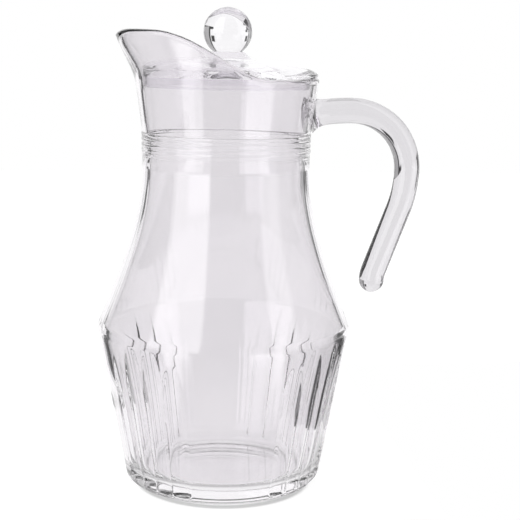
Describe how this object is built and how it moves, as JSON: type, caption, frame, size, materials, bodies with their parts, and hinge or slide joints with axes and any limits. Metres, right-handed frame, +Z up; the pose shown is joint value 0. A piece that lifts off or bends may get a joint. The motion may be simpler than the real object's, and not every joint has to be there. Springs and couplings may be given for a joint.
{
  "type": "glass pitcher",
  "caption": "Clear glass pitcher with a fluted lower body, narrow neck, rising spout, open-ended rod handle and a lift-off clear lid with a ball knob, for serving drinks.",
  "frame": {"origin": "middle of the foot, on the surface that the pitcher stands on", "axes": "+Z up the axis of the vessel, +X towards the handle, -X towards the spout"},
  "size_m": [0.1828, 0.1438, 0.2689],
  "materials": {
    "vessel_glass": "clear pressed soda-lime glass, fire polished",
    "handle_glass": "clear soda-lime glass rod laid on hot",
    "lid_plastic": "clear moulded styrene-acrylonitrile plastic",
    "knob_plastic": "solid clear cast acrylic ball"
  },
  "bodies": {
    "pitcher": {"glass_body": "vessel_glass", "handle": "handle_glass"},
    "lid": {"lid_cover": "lid_plastic", "lid_knob": "knob_plastic"}
  },
  "joints": [
    {"name": "lid_lift", "type": "slide", "parent": "pitcher", "child": "lid", "axis": [0, 0, 1], "range_m": [0, 0.036]}
  ]
}
